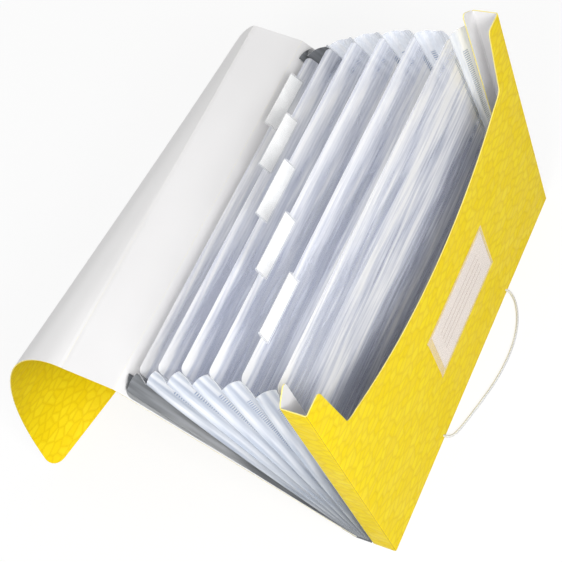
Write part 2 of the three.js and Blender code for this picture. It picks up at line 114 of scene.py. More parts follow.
TAB_WIDTH = 50.0
TAB_HEIGHT = 13.0
TAB_WALL = 0.35
TAB_FILM = TAB_WALL * 0.7
TAB_CARD = 0.4
TAB_PITCH = 48.0
TAB_ROW_CENTRE = 5.0
TAB_STAND = 6.0
TAB_CORNER_RADIUS = 2.0

SLEEVE_WIDTH = 106.0
SLEEVE_HEIGHT = 52.0
SLEEVE_CENTRE = (11.0, 80.0)
SLEEVE_FILM = 0.2
SLEEVE_RIM = 1.0
SLEEVE_RIM_GAP = 0.15
SLEEVE_DOME = 0.8
SLEEVE_WELD = 3.0
RULED_PITCH = 6.5
RULED_HALF_LINE = 0.6
RULED_REACH = (36.0, 14.3)

CORD_DIAMETER = 2.0


# Camera

CAMERA_PLACE = (-406.74, -358.70, 920.92)
CAMERA_AIM = (-66.25, 77.45, 211.11)
CAMERA_ROLL = 31.21
CAMERA_LENS = 84.475
CAMERA_SHIFT = (0.0322, -0.0203)


def make_camera():
    """The photograph's view: aimed along one line, then rolled about it."""
    data = bpy.data.cameras.new("camera")
    data.sensor_width = 36.0
    data.lens = CAMERA_LENS
    data.shift_x, data.shift_y = CAMERA_SHIFT
    data.clip_start = 0.01
    camera = bpy.data.objects.new("camera", data)
    bpy.context.scene.collection.objects.link(camera)
    place = Vector(CAMERA_PLACE) * MM
    aim = Vector(CAMERA_AIM) * MM
    turn = (aim - place).to_track_quat("-Z", "Y")
    roll = Matrix.Rotation(math.radians(-CAMERA_ROLL), 4, "Z")
    camera.matrix_world = Matrix.Translation(place) @ turn.to_matrix().to_4x4() @ roll
    bpy.context.scene.camera = camera


# Mesh building blocks

def mesh_object(name, points, faces, looks, kinds=None, uv=None, sharp=40.0):
    """A mesh object from points in millimetres. faces is a list of index tuples or an array, kinds
    gives each face's material number, and uv gives each point's place on the flat sheet in metres."""
    mesh = bpy.data.meshes.new(name)
    mesh.from_pydata((np.asarray(points, float) * MM).tolist(), [], np.asarray(faces).tolist())
    for look in looks:
        mesh.materials.append(look)
    if kinds is not None:
        mesh.polygons.foreach_set("material_index", np.asarray(kinds, np.int32))
    if uv is not None:
        layer = mesh.uv_layers.new(name="flat_sheet")
        corners = np.empty(len(mesh.loops), np.int32)
        mesh.loops.foreach_get("vertex_index", corners)
        layer.data.foreach_set("uv", (np.asarray(uv, float)[corners] * MM).ravel())
    mesh.polygons.foreach_set("use_smooth", np.ones(len(mesh.polygons), bool))
    mesh.set_sharp_from_angle(angle=math.radians(sharp))
    mesh.update()
    piece = bpy.data.objects.new(name, mesh)
    bpy.context.scene.collection.objects.link(piece)
    return piece


def grid_normals(middle):
    """Unit normals of a grid of points: the cross product of its two directions."""
    along_u = np.gradient(middle, axis=0)
    along_v = np.gradient(middle, axis=1)
    normal = np.cross(along_u, along_v)
    length = np.linalg.norm(normal, axis=2, keepdims=True)
    return normal / np.maximum(length, 1e-9)


def sheet_parts(middle, thickness, flat=None):
    """A closed sheet round a grid of middle points: half a thickness along the normal to each side,
    joined by a rim. Returns points, quads, kinds (0 front, 1 back, 2 rim) and flat coordinates."""
    n, m = middle.shape[:2]
    normal = grid_normals(middle)
    offset = normal * np.broadcast_to(np.asarray(thickness, float) / 2, (n, m))[..., None]
    points = np.concatenate([(middle + offset).reshape(-1, 3), (middle - offset).reshape(-1, 3)])
    index = np.arange(n * m).reshape(n, m)
    a, b, c, d = index[:-1, :-1], index[1:, :-1], index[1:, 1:], index[:-1, 1:]
    front = np.stack([a, b, c, d], axis=-1).reshape(-1, 4)
    back = front[:, ::-1] + n * m
    ring = np.concatenate([index[:, 0], index[-1, 1:], index[-2::-1, -1], index[0, -2:0:-1]])
    after = np.roll(ring, -1)
    rim = np.stack([after, ring, ring + n * m, after + n * m], axis=-1)
    quads = np.concatenate([front, back, rim])
    kinds = np.concatenate([np.zeros(len(front)), np.ones(len(back)), np.full(len(rim), 2)]).astype(int)
    uv = None
    if flat is not None:
        uv = np.concatenate([flat.reshape(-1, 2), flat.reshape(-1, 2)])
    return points, quads, kinds, uv


def join_parts(parts):
    """Several sets of points, quads, kinds and flat coordinates as one."""
    points, quads, kinds, flats = [], [], [], []
    start = 0
    for part_points, part_quads, part_kinds, part_flat in parts:
        points.append(part_points)
        quads.append(part_quads + start)
        kinds.append(part_kinds)
        flats.append(part_flat if part_flat is not None else part_points[:, :2])
        start += len(part_points)
    return np.concatenate(points), np.concatenate(quads), np.concatenate(kinds), np.concatenate(flats)


def sheet_piece(name, middle, thickness, looks, flat=None, sharp=40.0):
    points, quads, kinds, uv = sheet_parts(middle, thickness, flat)
    return mesh_object(name, points, quads, looks, kinds, uv, sharp)


def lean_vectors(lean):
    """The way up a leaning plane and the way out behind it, in Y and Z."""
    angle = math.radians(lean)
    return np.array([math.sin(angle), math.cos(angle)]), np.array([math.cos(angle), -math.sin(angle)])


def leaning_plane(number):
    """Foot, way up and way out of panel 0 to DIVIDER_COUNT, or of the back cover after them."""
    pocket_back = POCKET_DEPTH / 2
    if number <= DIVIDER_COUNT:
        up, out = lean_vectors(FRONT_PANEL_LEAN + LEAN_STEP * number)
        return np.array([pocket_back + 1 + FOOT_PITCH * number, FOOT_HEIGHT]), up, out
    up, out = lean_vectors(BACK_LEAN)
    foot_y = pocket_back + 1 + FOOT_PITCH * (DIVIDER_COUNT + 1) + COVER_SHEET / 2
    return np.array([foot_y, FOOT_HEIGHT + COVER_SHEET]), up, out


def on_plane(number, x, along, off=0.0):
    """Points of a leaning plane at x, a distance up it and a distance behind it."""
    foot, up, out = leaning_plane(number)
    x, along, off = np.broadcast_arrays(x, along, off)
    y = foot[0] + up[0] * along + out[0] * off
    z = foot[1] + up[1] * along + out[1] * off
    return np.stack([x, y, z], axis=-1)


# Materials

def linear(hex_colour):
    """An sRGB hex colour as linear red, green, blue and alpha 1."""
    parts = [int(hex_colour[i:i + 2], 16) / 255 for i in (1, 3, 5)]
    parts = [p / 12.92 if p <= 0.04045 else ((p + 0.055) / 1.055) ** 2.4 for p in parts]
    return (*parts, 1.0)


def node(tree, kind, settings=None, links=None):
    """Adds a node, sets its properties and socket values, and links its inputs."""
    made = tree.nodes.new(kind)
    for key, value in (settings or {}).items():
        if isinstance(key, int) or key in made.inputs:
            made.inputs[key].default_value = value
        else:
            setattr(made, key, value)
    for key, source in (links or {}).items():
        tree.links.new(source, made.inputs[key])
    return made


def new_material(name, settings):
    """A material with its Principled shader's own sockets set."""
    material = bpy.data.materials.new(name)
    material.use_nodes = True
    shader = material.node_tree.nodes["Principled BSDF"]
    for key, value in settings.items():
        shader.inputs[key].default_value = value
    return material, material.node_tree, shader


def ramp(tree, source, stops):
    """A colour ramp through (place, colour) stops."""
    made = node(tree, "ShaderNodeValToRGB", links={"Fac": source})
    elements = made.color_ramp.elements
    while len(elements) < len(stops):
        elements.new(0.5)
    for element, (place, colour) in zip(elements, stops):
        element.position = place
        element.color = colour
    return made


def grey(value):
    return (value, value, value, 1.0)


def embossed_polypropylene():
    """Yellow polypropylene sheet, calendered between an embossing roll and a smooth one: low domed
    pebbles about 11 by 6 mm, each a little glossier or duller than the next, under a grain of 0.7 mm."""
    material, tree, shader = new_material("embossed_polypropylene_yellow",
                                          {"IOR": 1.49, "Specular IOR Level": 0.1})
    place = node(tree, "ShaderNodeTexCoord")
    stretch = node(tree, "ShaderNodeMapping", {"Rotation": (0, 0, 0.9), "Scale": (1.0, 1.9, 1.0)},
                   {"Vector": place.outputs["UV"]})
    settings = {"voronoi_dimensions": "2D", "Scale": 1 / 0.0115, "Randomness": 0.8}
    edges = node(tree, "ShaderNodeTexVoronoi", {**settings, "feature": "DISTANCE_TO_EDGE"},
                 {"Vector": stretch.outputs["Vector"]})
    cells = node(tree, "ShaderNodeTexVoronoi", {**settings, "feature": "F1"},
                 {"Vector": stretch.outputs["Vector"]})
    cell = node(tree, "ShaderNodeSeparateColor", links={"Color": cells.outputs["Color"]})
    groove = ramp(tree, edges.outputs["Distance"], [(0.0, grey(0)), (0.04, grey(0.45)), (0.24, grey(1))])
    groove.color_ramp.interpolation = "EASE"
    pebble = ramp(tree, cell.outputs["Red"], [(0.0, linear("#F0D30C")), (1.0, linear("#F5DC1B"))])
    # Painted shade: the grooves between the pebbles are a darker yellow, #E6C60A, as shade in the
    # recesses.
    groove_shade = node(tree, "ShaderNodeMix", {"data_type": "RGBA"}, {"Factor": groove.outputs["Color"]})
    groove_shade.inputs["A"].default_value = linear("#E6C60A")
    tree.links.new(pebble.outputs["Color"], groove_shade.inputs["B"])
    tree.links.new(groove_shade.outputs["Result"], shader.inputs["Base Color"])
    gloss = ramp(tree, cell.outputs["Green"], [(0.0, grey(0.40)), (1.0, grey(0.54))])
    tree.links.new(gloss.outputs["Color"], shader.inputs["Roughness"])
    grain = node(tree, "ShaderNodeTexNoise", {"Scale": 1 / 0.0007, "Detail": 2.0},
                 {"Vector": place.outputs["UV"]})
    height = node(tree, "ShaderNodeMath", {"operation": "MULTIPLY_ADD", 1: 0.10})
    tree.links.new(grain.outputs["Fac"], height.inputs[0])
    tree.links.new(groove.outputs["Color"], height.inputs[2])
    relief = node(tree, "ShaderNodeBump", {"Strength": 0.4, "Distance": 0.0003},
                  {"Height": height.outputs["Value"]})
    tree.links.new(relief.outputs["Normal"], shader.inputs["Normal"])
    return material


def grained_sheet(name, colour, roughness, low_tone):
    """Smooth side of calendered polypropylene: a fine frosted grain of about 0.6 mm."""
    material, tree, shader = new_material(name, {"IOR": 1.49, "Roughness": roughness})
    place = node(tree, "ShaderNodeTexCoord")
    grain = node(tree, "ShaderNodeTexNoise", {"Scale": 1 / 0.0006, "Detail": 2.0},
                 {"Vector": place.outputs["Object"]})
    relief = node(tree, "ShaderNodeBump", {"Strength": 0.25, "Distance": 0.0001},
                  {"Height": grain.outputs["Fac"]})
    tree.links.new(relief.outputs["Normal"], shader.inputs["Normal"])
    drift = node(tree, "ShaderNodeTexNoise", {"Scale": 1 / 0.09, "Detail": 2.0},
                 {"Vector": place.outputs["Object"]})
    tone = ramp(tree, drift.outputs["Fac"], [(0.3, linear(low_tone)), (0.7, linear(colour))])
    tree.links.new(tone.outputs["Color"], shader.inputs["Base Color"])
    return material


def clear_film(name, tones, veils, roughness, stretch=(1.0, 1.0), seam=None, foot=None):
    """Cast polypropylene film, drawn over rolls: glossy, with milky streaks along the way it was drawn.
    tones and veils are the colour and the cover of its clearest and its milkiest streaks. A seam is a
    band of weld ribs, by its middle and half width in the first flat coordinate. The real ribs are
    about 1.3 mm apart, and are drawn 2.2 mm apart so that they show. foot is the colour of a painted
    shade that darkens the film towards its foot."""
    material, tree, shader = new_material(name, {"IOR": 1.49, "Roughness": roughness})
    place = node(tree, "ShaderNodeTexCoord")
    drawn = node(tree, "ShaderNodeMapping", {"Scale": (*stretch, 1.0)}, {"Vector": place.outputs["UV"]})
    broad = node(tree, "ShaderNodeTexNoise", {"Scale": 1 / 0.055, "Detail": 2.0},
                 {"Vector": drawn.outputs["Vector"]})
    fine = node(tree, "ShaderNodeTexNoise", {"Scale": 1 / 0.009, "Detail": 1.0},
                {"Vector": drawn.outputs["Vector"]})
    streaks = node(tree, "ShaderNodeMath", {"operation": "MULTIPLY_ADD", 1: 0.4}, {0: fine.outputs["Fac"]})
    lifted = node(tree, "ShaderNodeMath", {"operation": "MULTIPLY", 1: 0.6}, {0: broad.outputs["Fac"]})
    tree.links.new(lifted.outputs["Value"], streaks.inputs[2])
    tone = ramp(tree, streaks.outputs["Value"], [(0.39, linear(tones[0])), (0.60, linear(tones[1]))])
    veil = ramp(tree, streaks.outputs["Value"], [(0.39, grey(veils[0])), (0.60, grey(veils[1]))])
    colour, cover = tone.outputs["Color"], veil.outputs["Color"]
    split = node(tree, "ShaderNodeSeparateXYZ", links={"Vector": place.outputs["UV"]})
    if foot is not None:
        # Painted shade: the colour darkens to foot towards the film's foot.
        low = node(tree, "ShaderNodeMapRange",
                   {"From Min": 0.01, "From Max": 0.14, "To Min": 0.75, "To Max": 0.0},
                   {"Value": split.outputs["Y"]})
        foot_shade = node(tree, "ShaderNodeMix", {"data_type": "RGBA"}, {"Factor": low.outputs["Result"]})
        tree.links.new(colour, foot_shade.inputs["A"])
        foot_shade.inputs["B"].default_value = linear(foot)
        colour = foot_shade.outputs["Result"]
    if seam is not None:
        across = node(tree, "ShaderNodeMath", {"operation": "ABSOLUTE"}, {0: split.outputs["X"]})
        band = node(tree, "ShaderNodeMath", {"operation": "COMPARE", 1: seam[0], 2: seam[1]},
                    {0: across.outputs["Value"]})
        pitch = node(tree, "ShaderNodeMath", {"operation": "PINGPONG", 1: WELD_RIB_PITCH / 2 * MM},
                     {0: split.outputs["Y"]})
        rib = node(tree, "ShaderNodeMath", {"operation": "LESS_THAN", 1: WELD_RIB_HALF_WIDTH * MM},
                   {0: pitch.outputs["Value"]})
        below = node(tree, "ShaderNodeMath", {"operation": "LESS_THAN", 1: WELD_RIB_TOP * MM},
                     {0: split.outputs["Y"]})
        row = node(tree, "ShaderNodeMath", {"operation": "MULTIPLY"},
                   {0: band.outputs["Value"], 1: rib.outputs["Value"]})
        ribs = node(tree, "ShaderNodeMath", {"operation": "MULTIPLY"},
                    {0: row.outputs["Value"], 1: below.outputs["Value"]})
        weld = node(tree, "ShaderNodeMix", {"data_type": "RGBA"}, {"Factor": ribs.outputs["Value"]})
        tree.links.new(colour, weld.inputs["A"])
        weld.inputs["B"].default_value = linear("#8798B5")
        denser = node(tree, "ShaderNodeMath", {"operation": "MULTIPLY_ADD", 1: 0.2},
                      {0: ribs.outputs["Value"], 2: cover})
        colour, cover = weld.outputs["Result"], denser.outputs["Value"]
    tree.links.new(colour, shader.inputs["Base Color"])
    tree.links.new(cover, shader.inputs["Alpha"])
    waves = node(tree, "ShaderNodeTexNoise", {"Scale": 1 / 0.045, "Detail": 1.0},
                 {"Vector": drawn.outputs["Vector"]})
    relief = node(tree, "ShaderNodeBump", {"Strength": 0.3, "Distance": 0.0012},
                  {"Height": waves.outputs["Fac"]})
    tree.links.new(relief.outputs["Normal"], shader.inputs["Normal"])
    return material


def plain_card(name, colour, low_tone, ruled):
    """Uncoated white card with a fibre grain, and if asked four faint ruled lines in its middle."""
    material, tree, shader = new_material(name, {"IOR": 1.45, "Roughness": 0.85})
    place = node(tree, "ShaderNodeTexCoord")
    fibres = node(tree, "ShaderNodeTexNoise", {"Scale": 1 / 0.0009, "Detail": 3.0},
                  {"Vector": place.outputs["Object"]})
    relief = node(tree, "ShaderNodeBump", {"Strength": 0.1, "Distance": 0.00006},
                  {"Height": fibres.outputs["Fac"]})
    tree.links.new(relief.outputs["Normal"], shader.inputs["Normal"])
    paper = ramp(tree, fibres.outputs["Fac"], [(0.2, linear(low_tone)), (0.8, linear(colour))])
    if not ruled:
        tree.links.new(paper.outputs["Color"], shader.inputs["Base Color"])
        return material
    split = node(tree, "ShaderNodeSeparateXYZ", links={"Vector": place.outputs["Object"]})
    rows = node(tree, "ShaderNodeMath", {"operation": "PINGPONG", 1: RULED_PITCH / 2 * MM},
                {0: split.outputs["Z"]})
    marked = node(tree, "ShaderNodeMath", {"operation": "LESS_THAN", 1: RULED_HALF_LINE * MM},
                  {0: rows.outputs["Value"]})
    for axis, middle, reach in zip("XZ", SLEEVE_CENTRE, RULED_REACH):
        near = node(tree, "ShaderNodeMath", {"operation": "COMPARE", 1: middle * MM, 2: reach * MM},
                    {0: split.outputs[axis]})
        marked = node(tree, "ShaderNodeMath", {"operation": "MULTIPLY"},
                      {0: marked.outputs["Value"], 1: near.outputs["Value"]})
    printed = node(tree, "ShaderNodeMix", {"data_type": "RGBA"}, {"Factor": marked.outputs["Value"]})
    tree.links.new(paper.outputs["Color"], printed.inputs["A"])
    printed.inputs["B"].default_value = linear("#CFBDB2")
    tree.links.new(printed.outputs["Result"], shader.inputs["Base Color"])
    return material


def braided_elastic():
    """Rubber core in a braid of polyester yarn: diagonal yarns about 0.7 mm wide."""
    material, tree, shader = new_material("braided_elastic_grey",
                                          {"IOR": 1.5, "Roughness": 0.72, "Sheen Weight": 0.2})
    place = node(tree, "ShaderNodeTexCoord")
    braid = node(tree, "ShaderNodeTexWave",
                 {"wave_type": "BANDS", "bands_direction": "DIAGONAL", "Scale": 230.0},
                 {"Vector": place.outputs["UV"]})
    tone = ramp(tree, braid.outputs["Fac"], [(0.0, linear("#BEBFC1")), (1.0, linear("#CECFD0"))])
    tree.links.new(tone.outputs["Color"], shader.inputs["Base Color"])
    relief = node(tree, "ShaderNodeBump", {"Strength": 0.25, "Distance": 0.0001},
                  {"Height": braid.outputs["Fac"]})
    tree.links.new(relief.outputs["Normal"], shader.inputs["Normal"])
    return material


# The cover's sheet: embossed outside, smooth white inside, a pressed fold line darkened as painted shade
# and the paler cut edge
yellow = embossed_polypropylene()
white_side = grained_sheet("frosted_polypropylene_white", "#E6E5E5", 0.42, "#E0DFDF")
crease_shade = grained_sheet("polypropylene_crease_painted_shade", "#B99A10", 0.5, "#AD8F0E")
cut_edge = grained_sheet("cut_polypropylene_edge", "#F6E98F", 0.5, "#F0DD70")

# Films: the panels, the pleats, the pleats beside the cover darkened as painted shade, the strip welded to
# it in a grey of painted shade, and cut edges
divider_film = clear_film("cast_film_clear", ("#DDE3F6", "#FFFFFF"), (0.20, 0.76), 0.09,
                          stretch=(0.16, 2.4), seam=(0.1462, 0.0018))
# The pleats darken to grey towards their foot, a painted shade.
gusset_film = clear_film("cast_film_milky", ("#D8E1F0", "#FFFFFF"), (0.36, 0.74), 0.18,
                         stretch=(2.4, 0.16), seam=(0.0058, 0.0018), foot="#8D9297")
# Dark grey of painted shade, for the last pleats by the cover and for the bottom gusset.
dark_shade_film = clear_film("cast_film_dark_painted_shade", ("#55585C", "#85888C"), (0.80, 0.92), 0.3, stretch=(2.6, 0.22))
# Mid grey of painted shade for the strip welded to the cover.
strip_shade_film = clear_film("cast_film_cover_strip_painted_shade", ("#9B9D9F", "#BBBDBE"), (0.80, 0.92), 0.3,
                        stretch=(2.6, 0.22))
film_edge = clear_film("cut_film_edge", ("#F4F6FA", "#FFFFFF"), (0.85, 0.95), 0.3)
tab_plastic = clear_film("clear_tab_plastic", ("#F8FAFC", "#FFFFFF"), (0.14, 0.20), 0.15)
sleeve_film = clear_film("label_sleeve_film", ("#F2E7E0", "#FBF5F1"), (0.20, 0.32), 0.12)

# Card in the tabs and in the label's sleeve, then the elastic and its moulded stops
tab_paper = plain_card("uncoated_card", "#FCFCFB", "#F6F6F4", False)
label_paper = plain_card("uncoated_card_ruled", "#FBF5F0", "#F8F1EB", True)
elastic = braided_elastic()
stop_plastic = grained_sheet("moulded_nylon_grey", "#D9D9D9", 0.4, "#CFCFCF")


# Elastic cord

CORD_LOW = CORD_DIAMETER / 2 + 0.1
CORD_HOLE_HEIGHT = 3.2
CORD_ROUTE = [
    (-67, -7.2, CORD_HOLE_HEIGHT),
    (-67, -9.0, CORD_HOLE_HEIGHT),
    (-66.8, -11.5, 2.9),
    (-65.6, -14.2, 1.8),
    (-62.8, -16.6, CORD_LOW),
    (-57.5, -18.9, CORD_LOW),
    (-49.5, -21.4, CORD_LOW),
    (-39.5, -24.1, CORD_LOW),
    (-28.5, -26.9, CORD_LOW),
    (-17.5, -29.4, CORD_LOW),
    (-6.5, -31.3, CORD_LOW),
    (4.5, -32.4, CORD_LOW),
    (15.5, -32.8, CORD_LOW),
    (26.5, -32.3, CORD_LOW),
    (37, -30.6, CORD_LOW),
    (46.5, -27.9, CORD_LOW),
    (54.8, -24.4, CORD_LOW),
    (61.6, -20.4, CORD_LOW),
    (66.2, -16.4, CORD_LOW),
    (68.4, -13.6, 1.8),
    (69, -11.3, 2.9),
    (69, -9.0, CORD_HOLE_HEIGHT),
    (69, -7.2, CORD_HOLE_HEIGHT),
]


def smooth_path(route, steps):
    """A Catmull-Rom curve through the route's points, with equal steps in each span."""
    p = np.array(route, float)
    p = np.concatenate([[2 * p[0] - p[1]], p, [2 * p[-1] - p[-2]]])
    t = np.linspace(0, 1, steps, endpoint=False)[None, :, None]
    a, b, c, d = (p[k:len(p) - 3 + k][:, None, :] for k in range(4))
    square, cube = 2 * a - 5 * b + 4 * c - d, 3 * b - a - 3 * c + d
    curve = 0.5 * (2 * b + (c - a) * t + square * t ** 2 + cube * t ** 3)
    return np.concatenate([curve.reshape(-1, 3), [route[-1]]])


def elastic_cord():
    """A round tube along the route: circles at right angles to the path, closed by a cap at each end."""
    path = smooth_path(CORD_ROUTE, 8)
    along = np.gradient(path, axis=0)
    along /= np.linalg.norm(along, axis=1, keepdims=True)
    side = np.cross(along, [0, 0, 1.0])
    side /= np.linalg.norm(side, axis=1, keepdims=True)
    lift = np.cross(side, along)
    around = np.linspace(0, 2 * np.pi, 12, endpoint=False)
    radius = CORD_DIAMETER / 2
    rings = path[:, None] + radius * (np.cos(around)[None, :, None] * side[:, None]
                                      + np.sin(around)[None, :, None] * lift[:, None])
    n, m = rings.shape[:2]
    index = np.arange(n * m).reshape(n, m)
    turned = np.roll(index, -1, axis=1)
    quads = np.stack([index[:-1], index[1:], turned[1:], turned[:-1]], axis=-1).reshape(-1, 4)
    faces = quads[:, ::-1].tolist() + [index[0].tolist(), index[-1, ::-1].tolist()]
    length = np.concatenate([[0], np.cumsum(np.linalg.norm(np.diff(path, axis=0), axis=1))])
    flat = np.stack(np.broadcast_arrays(length[:, None], around[None, :] * radius), axis=-1).reshape(-1, 2)
    mesh = bpy.data.meshes.new("elastic_cord_braid")
    mesh.from_pydata((rings.reshape(-1, 3) * MM).tolist(), [], faces)
    mesh.materials.append(elastic)
    layer = mesh.uv_layers.new(name="flat_sheet")
    corners = np.empty(len(mesh.loops), np.int32)
    mesh.loops.foreach_get("vertex_index", corners)
    layer.data.foreach_set("uv", (flat[corners] * MM).ravel())
    mesh.polygons.foreach_set("use_smooth", np.ones(len(mesh.polygons), bool))
    piece = bpy.data.objects.new("elastic_cord_braid", mesh)
    bpy.context.scene.collection.objects.link(piece)
    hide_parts("elastic_cord")
    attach(piece, "folder")


# Front pocket

def notch_half_outline():
    """The face's top edge from the middle to the right end: a shallow arc, a rounded corner, a steep
    side and a rounded lip."""
    top = POCKET_HEIGHT
    shoulder = HALF_WIDTH - NOTCH_END_TAB
    foot_x = shoulder - NOTCH_SIDE_LEAN
    foot_z = top - NOTCH_LIP_DROP - NOTCH_SIDE_DROP
    arc_x = foot_x - NOTCH_CORNER_RADIUS
    low = top - NOTCH_DEPTH
    arc_z = low + NOTCH_ARC_RISE
    radius = (arc_x ** 2 + NOTCH_ARC_RISE ** 2) / (2 * NOTCH_ARC_RISE)
    x = np.linspace(0, arc_x, 40)
    parts = [np.stack([x, low + radius - np.sqrt(radius ** 2 - x ** 2)], axis=1)]
    t = np.linspace(0, 1, 13)[1:, None]
    corner = [np.array(p) for p in ((arc_x, arc_z), (foot_x - 1, arc_z + 2), (foot_x, foot_z))]
    lip_z = top - NOTCH_LIP_DROP
    lip = [np.array(p) for p in ((shoulder, lip_z), (shoulder + 0.3, top), (shoulder + 4, top))]
    for a, b, c in (corner, lip):
        parts.append((1 - t) ** 2 * a + 2 * t * (1 - t) * b + t ** 2 * c)
    s = np.linspace(0, 1, 7)[1:-1, None]
    side = corner[2] * (1 - s) + lip[0] * s
    return np.concatenate([parts[0], parts[1], side, [lip[0]], parts[2]])


def pocket_profile():
    """Half of the folded strip seen from above, from the middle of the face round the side wall to
    the flange's end: places in X and Y, and the height of the top edge there. Each fold is a quarter
    circle with a narrow pressed groove along its middle."""
    half = COVER_SHEET / 2
    face_y = -POCKET_DEPTH / 2 + half
    back_y = POCKET_DEPTH / 2 - half
    wall_x = HALF_WIDTH - half
    radius = FOLD_RADIUS
    outline = notch_half_outline()
    outline = outline[outline[:, 0] < wall_x - radius]
    rows = [(x, face_y, z) for x, z in outline]
    centre_x = wall_x - radius
    for first, centre_y in ((-90, face_y + radius), (0, back_y - radius)):
        for angle in np.linspace(first, first + 90, 9):
            a = math.radians(angle)
            reach = radius - FOLD_GROOVE * math.exp(-((angle - first - 45) / 14) ** 2)
            rows.append((centre_x + reach * math.cos(a), centre_y + reach * math.sin(a), POCKET_HEIGHT))
    inner = HALF_WIDTH - FLANGE_WIDTH
    slope_end = inner + FLANGE_CORNER_RADIUS
    top = POCKET_HEIGHT + FLANGE_RISE
    for x in np.linspace(centre_x, slope_end, 6)[1:]:
        share = (HALF_WIDTH - x) / (HALF_WIDTH - slope_end)
        rows.append((x, back_y, POCKET_HEIGHT + FLANGE_RISE * share))
    for t in np.linspace(0, 1, 9)[1:]:
        x = slope_end + (inner - slope_end) * (2 * t - t * t)
        rows.append((x, back_y, top - FLANGE_CORNER_RADIUS * t * t))
    return np.array(rows)


def in_groove(profile):
    """True for the strips between two profile points that lie in the middle of a fold."""
    middle = (np.abs(profile[1:, :2]) + np.abs(profile[:-1, :2])) / 2
    corner = np.array([HALF_WIDTH, POCKET_DEPTH / 2]) - COVER_SHEET / 2
    return np.linalg.norm(middle - corner, axis=1) < 0.52 * FOLD_RADIUS + FOLD_GROOVE * 0.4


def front_pocket():
    """One folded sheet: each column runs from the floor to the top edge, and the columns follow the
    profile round the flanges, the side walls and the notched face. The bottom wall is folded in."""
    right = pocket_profile()
    left = right[:0:-1] * [-1, 1, 1]
    profile = np.concatenate([left, right])
    steps = np.linalg.norm(np.diff(profile[:, :2], axis=0), axis=1)
    run = np.concatenate([[0], np.cumsum(steps)])
    run -= run[-1] / 2
    rows = np.linspace(0, 1, 9)
    z = profile[:, 2][:, None] * rows[None, :]
    x = np.broadcast_to(profile[:, 0][:, None], z.shape)
    y = np.broadcast_to(profile[:, 1][:, None], z.shape)
    wrap = np.stack([x, y, z], axis=-1)
    flat = np.stack(np.broadcast_arrays(run[:, None], z), axis=-1)
    half = COVER_SHEET / 2
    xs = np.linspace(-HALF_WIDTH + FLOOR_END_INSET, HALF_WIDTH - FLOOR_END_INSET, 5)
    ys = np.linspace(-POCKET_DEPTH / 2 + FLOOR_FRONT_INSET, POCKET_DEPTH / 2 - FLOOR_BACK_INSET, 4)
    gx, gy = np.meshgrid(xs, ys[::-1], indexing="ij")
    floor = np.stack([gx, gy, np.full_like(gx, half)], axis=-1)
    parts = [sheet_parts(wrap, COVER_SHEET, flat), sheet_parts(floor, COVER_SHEET, floor[..., :2])]
    points, quads, kinds, uv = join_parts(parts)
    outside = kinds[:(len(profile) - 1) * (len(rows) - 1)].reshape(len(profile) - 1, -1)
    # Faces in the middle of each fold get the darker crease yellow, a painted shade.
    outside[in_groove(profile)] = 3
    looks = [yellow, white_side, cut_edge, crease_shade]
    piece = mesh_object("front_pocket_sheet", points, quads, looks, kinds, uv)
    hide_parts("front_pocket")
    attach(piece, "folder")


# Covers

hinge = on_plane(DIVIDER_COUNT + 1, 0, BACK_HEIGHT)
spine_way = np.array([0, math.cos(math.radians(SPINE_RISE)), math.sin(math.radians(SPINE_RISE))])
crease = hinge + spine_way * SPINE_WIDTH


def back_cover():
    """A flat sheet up the rear plane, thinned beside the crease."""
    end = BACK_HEIGHT - CREASE_SETBACK
    along = np.concatenate([np.linspace(0, BACK_HEIGHT - 3, 8), [BACK_HEIGHT - 2, end]])
    xs = np.linspace(-HALF_WIDTH, HALF_WIDTH, 9)
    gx, ga = np.meshgrid(xs, along, indexing="ij")
    middle = on_plane(DIVIDER_COUNT + 1, gx, ga)
    thickness = np.where(ga > BACK_HEIGHT - 1, CREASE_SHEET, COVER_SHEET)
    piece = sheet_piece("back_cover_sheet", middle, thickness, [white_side, yellow, cut_edge],
                        np.stack([gx, ga], axis=-1))
    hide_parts("back_cover")
    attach(piece, "folder")


def flap_spine():
    """The flat strip between the two creases, thinned beside both."""
    half = np.array([CREASE_SETBACK, 2, 3])
    along = np.concatenate([half, [SPINE_WIDTH / 2], SPINE_WIDTH - half[::-1]])
    xs = np.linspace(-HALF_WIDTH, HALF_WIDTH, 9)
    gx, ga = np.meshgrid(xs, along, indexing="ij")
    middle = hinge + spine_way * ga[..., None] + np.stack([gx, 0 * gx, 0 * gx], axis=-1)
    edge = np.minimum(ga, SPINE_WIDTH - ga)
    thickness = np.where(edge < 1, CREASE_SHEET, COVER_SHEET)
    piece = sheet_piece("flap_spine_sheet", middle, thickness, [white_side, yellow, cut_edge],
                        np.stack([gx, BACK_HEIGHT + ga], axis=-1))
    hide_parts("flap_spine")
    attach(piece, "flap_spine")


def bezier(points, t):
    """A cubic curve through its four control points at the parameters t."""
    a, b, c, d = (np.asarray(p, float) for p in points)
    t = t[..., None]
    return (1 - t) ** 3 * a + 3 * (1 - t) ** 2 * t * b + 3 * (1 - t) * t ** 2 * c + t ** 3 * d


# Control points of the flap's two end curves: X out from the folder's end, Y and Z from the crease. The
# last point's height is that of the desk.
FLAP_NEAR = [(0, 0, 0), (0, 52, 20), (4, 130, -106), (33, 86, None)]
FLAP_FAR = [(0, 0, 0), (0, 31, -12), (-13, 134, -163), (-28, 18, None)]
FLAP_EDGE_HEIGHT = 0.6


def flap_curve(side, controls):
    """The curve at one end of the flap, each point's share of its length, and that length."""
    placed = []
    for out, y, z in controls:
        height = FLAP_EDGE_HEIGHT if z is None else crease[2] + z
        placed.append((side * (HALF_WIDTH + out), crease[1] + y, height))
    t = np.linspace(0, 1, 401)
    dense = bezier(placed, t)
    run = np.concatenate([[0], np.cumsum(np.linalg.norm(np.diff(dense, axis=0), axis=1))])
    return dense, run / run[-1], run[-1]


